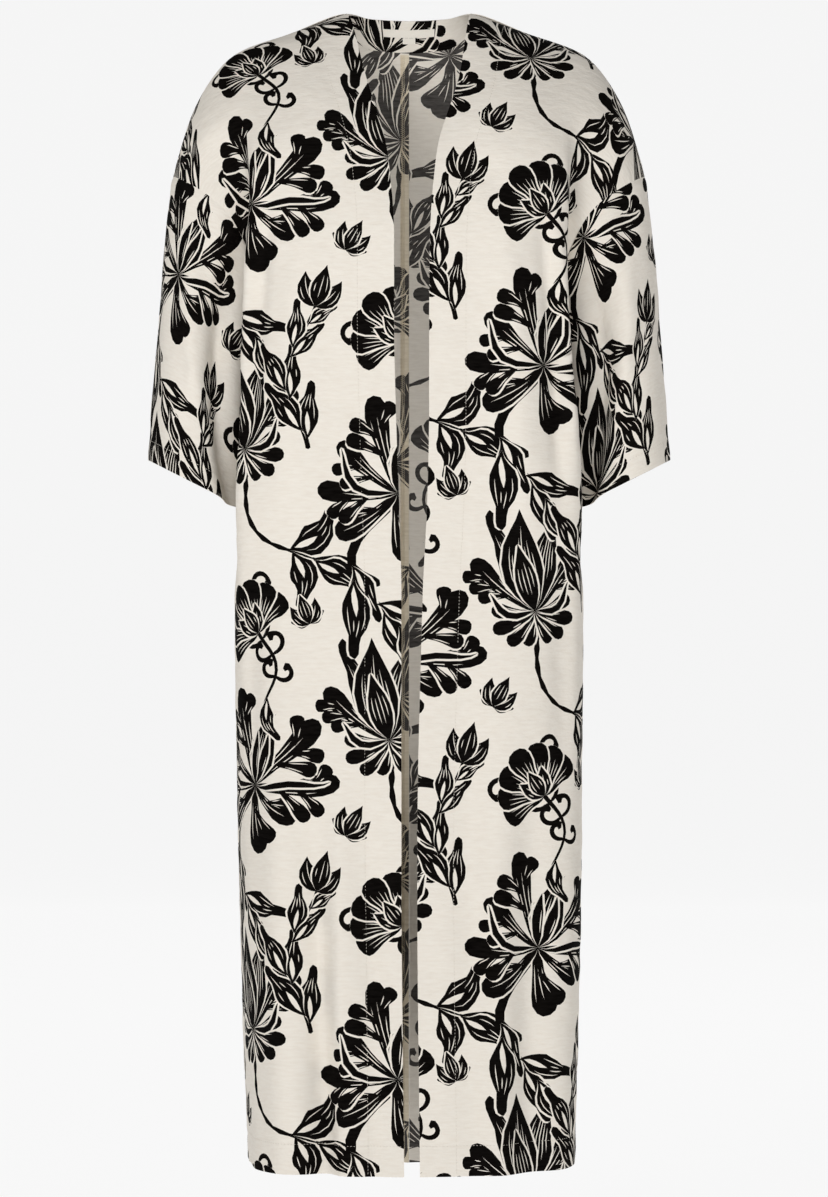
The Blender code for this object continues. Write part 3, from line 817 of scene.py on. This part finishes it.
def lift(sheet, places):
    """Points and directions on the sheet for places on its flat pattern."""
    halves = grid_triangles(sheet)
    flat = sheet.flat.reshape(-1, 2)
    tree = BVHTree.FromPolygons([(x, y, 0.0) for x, y in flat], halves.tolist())
    hits = np.array([tree.find_nearest((x, y, 0.0))[2] for x, y in places])
    first, second, third = (flat[halves[hits, k]] for k in range(3))
    side_a, side_b, way = second - first, third - first, places - first
    area = side_a[:, 0] * side_b[:, 1] - side_a[:, 1] * side_b[:, 0]
    share_b = (way[:, 0] * side_b[:, 1] - way[:, 1] * side_b[:, 0]) / area
    share_c = (side_a[:, 0] * way[:, 1] - side_a[:, 1] * way[:, 0]) / area
    shares = np.stack([1 - share_b - share_c, share_b, share_c], axis=1)
    both = np.concatenate([sheet.points.reshape(-1, 3), sheet.out.reshape(-1, 3)], axis=1)
    found = np.einsum("pk,pkc->pc", shares, both[halves[hits]])
    return found[:, :3], unit(found[:, 3:])


def open_edges(triangles):
    """The edges that only one triangle has, each in that triangle's order."""
    edges = np.concatenate([triangles[:, (0, 1)], triangles[:, (1, 2)], triangles[:, (2, 0)]])
    ordered = np.sort(edges, axis=1)
    _, first, count = np.unique(ordered, axis=0, return_index=True, return_counts=True)
    return edges[first[count == 1]]


def shell(name, points, out, triangles, thick, places, slots, materials):
    """A thin shell of cloth: its outer face, its inner face, and a rim between them."""
    count = len(points)
    inner = triangles[:, ::-1] + count
    edges = open_edges(triangles)
    rim = np.stack([edges[:, 1], edges[:, 0], edges[:, 0] + count, edges[:, 1] + count], axis=1)
    mesh = bpy.data.meshes.new(name)
    corners = np.concatenate([points, points - out * thick])
    mesh.from_pydata(corners.tolist(), [], [*triangles.tolist(), *inner.tolist(), *rim.tolist()])
    for material in materials:
        mesh.materials.append(material)
    face_slots = np.concatenate([slots, slots + len(materials) // 2, np.zeros(len(rim), int)])
    mesh.polygons.foreach_set("material_index", face_slots.astype(np.int32))
    vertex = np.zeros(len(mesh.loops), np.int32)
    mesh.loops.foreach_get("vertex_index", vertex)
    layer = mesh.uv_layers.new(name="flat_cloth")
    layer.data.foreach_set("uv", np.concatenate([places, places])[vertex].astype(np.float32).ravel())
    normals = np.concatenate([out, -out])[vertex]
    normals[6 * len(triangles) :] = 0.0
    mesh.shade_smooth()
    mesh.normals_split_custom_set(normals.tolist())
    return add_piece(name, mesh)


def printed_cloth(name, sheet, origin, materials):
    places, triangles, inked = printed_triangles(sheet.flat, np.array(origin))
    points, out = lift(sheet, places)
    return shell(name, points, out, triangles, SHOWN_CLOTH, places, inked.astype(int), materials)


def plain_ribbon(name, sheet, material):
    triangles = grid_triangles(sheet)
    points, out, flat = sheet.points.reshape(-1, 3), sheet.out.reshape(-1, 3), sheet.flat.reshape(-1, 2)
    corner = flat[triangles]
    area = np.cross(corner[:, 1] - corner[:, 0], corner[:, 2] - corner[:, 0])
    if area.sum() < 0:
        triangles = triangles[:, ::-1]
    slots = np.zeros(len(triangles), int)
    return shell(name, points, out, triangles, RIBBON, flat, slots, [material, material])


def stitches(name, lines, material, length=0.0028, pitch=0.0037):
    """Rows of short stitches that lie on the cloth along lines of points and directions."""
    ends = []
    for line in lines:
        along = lengths_along(line[None, :, :3])[0]
        at = np.arange(pitch, along[-1] - pitch, pitch)
        ends.append([sampled(line, along, at + move) for move in (-length / 2, length / 2)])
    starts, stops = (np.concatenate(part) for part in zip(*ends))
    return threads(name, starts, stops, material)


def overlock(name, edge, needle, material, pitch=0.0024):
    """Threads that run to and fro between a raw edge and a needle line beside it."""
    along = lengths_along(edge[None, :, :3])[0]
    at = np.arange(pitch, along[-1] - pitch, pitch)
    outside, inside = sampled(edge, along, at), sampled(needle, along, at + pitch / 2)
    starts = np.concatenate([outside, inside[:-1], inside[:-1]])
    stops = np.concatenate([inside, outside[1:], inside[1:]])
    return threads(name, starts, stops, material)


def threads(name, starts, stops, material):
    """Short threads between pairs of points, a little proud of the cloth."""
    out = unit(starts[:, 3:] + stops[:, 3:])
    start, stop = starts[:, :3] + out * THREAD / 4, stops[:, :3] + out * THREAD / 4
    side = np.cross(unit(stop - start), out)
    middle = (start + stop) / 2
    ring = [middle + out * THREAD, middle + side * THREAD, middle - out * THREAD, middle - side * THREAD]
    corners = np.stack([start, *ring, stop], axis=1).reshape(-1, 3)
    first = np.arange(0, len(corners), 6)[:, None, None]
    spindle = [(0, 2, 1), (0, 3, 2), (0, 4, 3), (0, 1, 4), (5, 1, 2), (5, 2, 3), (5, 3, 4), (5, 4, 1)]
    mesh = bpy.data.meshes.new(name)
    mesh.from_pydata(corners.tolist(), [], (first + np.array(spindle)).reshape(-1, 3).tolist())
    mesh.materials.append(material)
    mesh.shade_smooth()
    return add_piece(name, mesh)


def sampled(line, along, at):
    return np.stack([np.interp(at, along, line[:, k]) for k in range(6)], axis=1)


def add_piece(name, mesh):
    piece = bpy.data.objects.new(name, mesh)
    bpy.context.scene.collection.objects.link(piece)
    return piece


# Materials
RIDGES = (70.0, 360.0)  # of the crepe, in a metre across and up the flat cloth
CRINKLES = (60.0, 110.0)


def new_material(name, roughness, shine=0.12):
    material = bpy.data.materials.new(name)
    material.use_nodes = True
    shader = material.node_tree.nodes["Principled BSDF"]
    shader.inputs["Roughness"].default_value = roughness
    shader.inputs["Specular IOR Level"].default_value = shine
    return material, shader


def flat_noise(tree, scale, detail):
    """Noise on the flat cloth, with features of 1 / scale metres across and up it."""
    place = tree.nodes.new("ShaderNodeUVMap")
    place.uv_map = "flat_cloth"
    size = tree.nodes.new("ShaderNodeMapping")
    size.inputs["Scale"].default_value = (*scale, 1.0)
    pattern = tree.nodes.new("ShaderNodeTexNoise")
    pattern.inputs["Scale"].default_value = 1.0
    pattern.inputs["Detail"].default_value = detail
    tree.links.new(place.outputs["UV"], size.inputs["Vector"])
    tree.links.new(size.outputs["Vector"], pattern.inputs["Vector"])
    return pattern


def streaks(tree, pattern, dark, light, ends=(0.0, 1.0)):
    """A base colour that runs from dark to light with a pattern."""
    colours = tree.nodes.new("ShaderNodeValToRGB")
    for element, end, colour in zip(colours.color_ramp.elements, ends, (dark, light)):
        element.position = end
        element.color = (*colour, 1)
    tree.links.new(pattern.outputs["Fac"], colours.inputs["Fac"])
    tree.links.new(colours.outputs["Color"], tree.nodes["Principled BSDF"].inputs["Base Color"])


def bump(tree, pattern, strength, height):
    """Fine relief that follows a pattern."""
    relief = tree.nodes.new("ShaderNodeBump")
    relief.inputs["Strength"].default_value = strength
    relief.inputs["Distance"].default_value = height
    tree.links.new(pattern.outputs["Fac"], relief.inputs["Height"])
    return relief


def crepe_material(name, dark, light, sheen=0.06, shine=0.12):
    """Crinkled crepe: fine level ridges of uneven length, soft crinkles, and a streaky colour."""
    material, shader = new_material(name, 0.85, shine)
    tree = material.node_tree
    ridges = flat_noise(tree, RIDGES, 3.0)
    crinkles = flat_noise(tree, CRINKLES, 4.0)
    streaks(tree, ridges, dark, light, (0.32, 0.62))
    coarse = bump(tree, crinkles, 1.0, 0.0012)
    fine = bump(tree, ridges, 0.5, 0.0005)
    tree.links.new(coarse.outputs["Normal"], fine.inputs["Normal"])
    tree.links.new(fine.outputs["Normal"], shader.inputs["Normal"])
    shader.inputs["Sheen Weight"].default_value = sheen
    shader.inputs["Sheen Roughness"].default_value = 0.5
    return material


def thread_material(name, dark, light):
    """Sewing thread or ribbon: a little streaky, and smoother than the cloth."""
    material, _ = new_material(name, 0.6)
    tree = material.node_tree
    place = tree.nodes.new("ShaderNodeTexCoord")
    pattern = tree.nodes.new("ShaderNodeTexNoise")
    pattern.inputs["Scale"].default_value = 900.0
    tree.links.new(place.outputs["Object"], pattern.inputs["Vector"])
    streaks(tree, pattern, dark, light)
    return material


cream = crepe_material("crepe_cream", (0.800, 0.740, 0.655), (0.835, 0.785, 0.705))
ink = crepe_material("crepe_ink", (0.0018, 0.0013, 0.0010), (0.0052, 0.0042, 0.0036), sheen=0.0, shine=0.03)
cream_inside = crepe_material("crepe_cream_inside", (0.76, 0.705, 0.625), (0.82, 0.77, 0.69))
ink_inside = crepe_material("crepe_ink_inside", (0.042, 0.038, 0.036), (0.080, 0.074, 0.069), sheen=0.0)
strip = crepe_material("overlocked_crepe", (0.70, 0.61, 0.46), (0.80, 0.71, 0.56))
thread = thread_material("cream_thread", (0.70, 0.65, 0.57), (0.85, 0.80, 0.72))
overlock_thread = thread_material("beige_thread", (0.70, 0.60, 0.44), (0.82, 0.72, 0.55))
ribbon = thread_material("label_ribbon", (0.80, 0.755, 0.675), (0.88, 0.84, 0.76))


def dress(piece, node=None):
    """Put a piece on the one body, in place of the solid that it stands for."""
    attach(piece, "root")
    if node:
        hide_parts(node)


# Fronts, backs and sleeves
SHELLS = [cream, ink, cream_inside, ink_inside]  # outer face, then inner face
PRINT_ORIGINS = {  # where the repeat starts on each flat piece
    "front_left": (0.060, 0.020),
    "front_right": (-0.100, -0.120),
    "back_left": (0.030, 0.090),
    "back_right": (-0.070, -0.060),
    "sleeve_left": (0.110, 0.050),
    "sleeve_right": (-0.026, -0.012),
}
sheets = {}
for half, side, folds in (("left", 1, FRONT_LEFT_FOLDS), ("right", -1, FRONT_RIGHT_FOLDS)):
    for sheet in make_side(half, side, folds).values():
        sheets[sheet.name] = sheet
cloths = {}
for name, sheet in sheets.items():
    cloths[name] = printed_cloth(name + "_crepe", sheet, PRINT_ORIGINS[name], SHELLS)
    dress(cloths[name], name)

# Back neck facing, inside both backs
LAYER_GAP = 0.0002  # between layers of cloth that lie on each other
under_back = SHOWN_CLOTH + LAYER_GAP
under_facing = under_back + SHOWN_CLOTH + LAYER_GAP


def inside_the_neck(down, columns, depth):
    """A sheet inside both backs, from one distance below the neck edge to another."""
    back = sheets["back_left"]
    upside_down = back.part(np.s_[::-1], np.s_[:])
    lines = np.array([upside_down.line(d, by_rows=False)[columns] for d in np.linspace(*down)])
    left = lines[..., :3] - lines[..., 3:] * depth
    mirror = np.array((-1, 1, 1))
    points = np.concatenate([left[:, :0:-1] * mirror, left], axis=1)
    out = np.concatenate([lines[:, :0:-1, 3:] * mirror, lines[..., 3:]], axis=1)
    across = lengths_along(points)
    across = across[:, len(columns) - 1, None] - across
    up = np.broadcast_to(-np.linspace(*down)[:, None], across.shape)
    sheet = Sheet("inside_the_neck", points, np.stack([across, up], axis=2))
    sheet.out = out
    return sheet


facing_sheet = inside_the_neck((FACING_DEPTH, 0.0, 6), np.arange(NECK_COLUMNS + 1), under_back)
FACING_ORIGIN = (-0.060, -0.265)
facing_shells = [cream_inside, ink_inside, cream, ink]
facing = printed_cloth("neck_facing_crepe", facing_sheet, FACING_ORIGIN, facing_shells)
dress(facing, "back_neck_facing")

# Neck label and size tab, bare, sewn on the facing
LABEL_COLUMNS, TAB_COLUMNS = np.arange(5), np.arange(2)  # of the back, from its centre seam
label_sheet = inside_the_neck((LABEL_DROP + LABEL_SIZE[1], LABEL_DROP, 3), LABEL_COLUMNS, under_facing)
label = plain_ribbon("neck_label_ribbon", label_sheet, ribbon)
tab_top = LABEL_DROP + LABEL_SIZE[1] + SEAM_GAP
tab_sheet = inside_the_neck((tab_top + TAB_SIZE[1], tab_top, 3), TAB_COLUMNS, under_facing)
tab = plain_ribbon("size_tab_ribbon", tab_sheet, ribbon)
dress(label, "neck_label")
dress(tab, "size_tab")

# Centre-back seam allowance, inside the right back, with its overlocked edge
back = sheets["back_right"]
below_facing = np.flatnonzero(back.flat[:, 0, 1] < back.flat[-1, 0, 1] - FACING_DEPTH - SEAM_GAP)
lower_back = back.part(below_facing, np.s_[:])
strip_lines = np.array([lower_back.line(d) for d in np.linspace(SEAM_GAP, ALLOWANCE_WIDTH, 5)]).swapaxes(0, 1)
strip_points = strip_lines[..., :3] - strip_lines[..., 3:] * under_back
strip_up = np.broadcast_to(lower_back.flat[:, :1, 1], strip_points.shape[:2])
strip_sheet = Sheet("strip", strip_points, np.stack([lengths_along(strip_points), strip_up], axis=2))
strip_sheet.out = strip_lines[..., 3:]
strip_shells = [strip, ink_inside, strip, ink_inside]
allowance = printed_cloth("allowance_crepe", strip_sheet, PRINT_ORIGINS["back_right"], strip_shells)
dress(allowance, "back_seam_allowance")
under_strip = under_back + SHOWN_CLOTH


def below(lines, depth):
    """Lines moved in by a depth, with their directions turned inwards."""
    return np.concatenate([lines[..., :3] - lines[..., 3:] * depth, -lines[..., 3:]], axis=-1)


inner_lines = below(strip_lines, under_strip)
allowance_threads = overlock("allowance_overlock", inner_lines[:, -1], inner_lines[:, 2], overlock_thread)
dress(allowance_threads)

# Stitching of the facings, hems and cuffs
for name, sheet in sheets.items():
    lowest_first = sheet
    depth = HEM_DEPTH
    if name.startswith("sleeve"):
        lowest_first = sheet.part(np.s_[::-1], np.s_[:])
        depth = CUFF_DEPTH
    lines = [lowest_first.line(depth, by_rows=False)]
    if name.startswith("front"):
        lines.append(sheet.line(FACING_WIDTH))
    sewing = stitches(name + "_stitches", lines, thread)
    dress(sewing)
    kind, half = name.split("_")


# Studio: a pale floor that curves up into a backdrop, soft light from the front, and the photo's camera
FLOOR_Z = -1.42
BACKDROP_Y = 7.0
CURVE_RADIUS = 1.5
BACKDROP_TOP = 6.0
HALF_WIDTH = 9.0
WALL_RADIUS = 14.0  # of a round wall that closes the studio on its other sides
WALL_SIDES = 64
CAMERA_PLACE = (0.0056, -4.5, -0.6534)
SENSOR_HEIGHT = 24.0
SEEN_HEIGHT = 1.336  # metres seen from top to bottom at the garment's middle


def paper(name, corners, faces, shade, glow):
    """A piece of the studio: pale paper with a glow of its own, so that its tone is even all over."""
    mesh = bpy.data.meshes.new(name)
    mesh.from_pydata(corners, [], faces)
    mesh.shade_smooth()
    material, shader = new_material(name + "_paper", 0.9)
    shader.inputs["Base Color"].default_value = (shade, shade, shade, 1)
    shader.inputs["Emission Color"].default_value = (1, 1, 1, 1)
    shader.inputs["Emission Strength"].default_value = glow
    mesh.materials.append(material)
    piece = add_piece(name, mesh)
    return piece


def studio_floor():
    bend = np.linspace(0, np.pi / 2, 13)
    curve_y = BACKDROP_Y - CURVE_RADIUS + CURVE_RADIUS * np.sin(bend)
    curve_z = FLOOR_Z + CURVE_RADIUS * (1 - np.cos(bend))
    profile = [(-HALF_WIDTH, FLOOR_Z), *zip(curve_y, curve_z), (BACKDROP_Y, BACKDROP_TOP)]
    corners = [(x, y, z) for y, z in profile for x in (-HALF_WIDTH, HALF_WIDTH)]
    faces = [(2 * n, 2 * n + 1, 2 * n + 3, 2 * n + 2) for n in range(len(profile) - 1)]
    paper("studio_floor", corners, faces, 0.06, 0.883)


def studio_wall():
    """A round wall that is seen but neither lights nor shades the garment."""
    turn = np.linspace(0, 2 * np.pi, WALL_SIDES, endpoint=False)
    heights = (-WALL_RADIUS / 2, WALL_RADIUS / 2)
    corners = [(WALL_RADIUS * np.cos(t), WALL_RADIUS * np.sin(t), z) for z in heights for t in turn]
    following = np.roll(np.arange(WALL_SIDES), -1).tolist()
    faces = [(n, n + WALL_SIDES, m + WALL_SIDES, m) for n, m in enumerate(following)]
    wall = paper("studio_wall", corners, faces, 0.0, 0.91)
    wall.visible_diffuse = False
    wall.visible_glossy = False
    wall.visible_shadow = False


def soft_light(name, place, target, size, power):
    light = bpy.data.lights.new(name, "AREA")
    light.shape = "RECTANGLE"
    light.size, light.size_y = size
    light.energy = power
    lamp = bpy.data.objects.new(name, light)
    lamp.location = place
    lamp.visible_camera = False
    lamp.rotation_euler = (Vector(target) - Vector(place)).to_track_quat("-Z", "Y").to_euler()
    bpy.context.scene.collection.objects.link(lamp)


def photo_camera():
    lens = bpy.data.cameras.new("photo_camera")
    lens.sensor_fit = "VERTICAL"
    lens.sensor_height = SENSOR_HEIGHT
    lens.lens = SENSOR_HEIGHT * -CAMERA_PLACE[1] / SEEN_HEIGHT
    camera = bpy.data.objects.new("photo_camera", lens)
    camera.location = CAMERA_PLACE
    camera.rotation_euler = (math.pi / 2, 0, 0)
    bpy.context.scene.collection.objects.link(camera)
    bpy.context.scene.camera = camera


studio_floor()
studio_wall()
soft_light("front_light", (-1.7, -3.3, 1.0), (0, 0, -0.6), (1.6, 1.6), 67)
soft_light("front_fill", (1.7, -3.4, -0.2), (0, 0, -0.7), (2.2, 2.2), 32)
soft_light("back_light", (0.9, 3.6, 1.2), (0, 0, -0.6), (1.6, 1.6), 30)
soft_light("inside_light", (0, -0.02, -0.46), (0, 0.1, -0.46), (0.10, 0.84), 0.26)
world = bpy.data.worlds.new("studio")
world.use_nodes = True
world.node_tree.nodes["Background"].inputs["Color"].default_value = (1, 1, 1, 1)
world.node_tree.nodes["Background"].inputs["Strength"].default_value = 0.14
bpy.context.scene.world = world
bpy.context.scene.view_settings.view_transform = "Standard"
photo_camera()
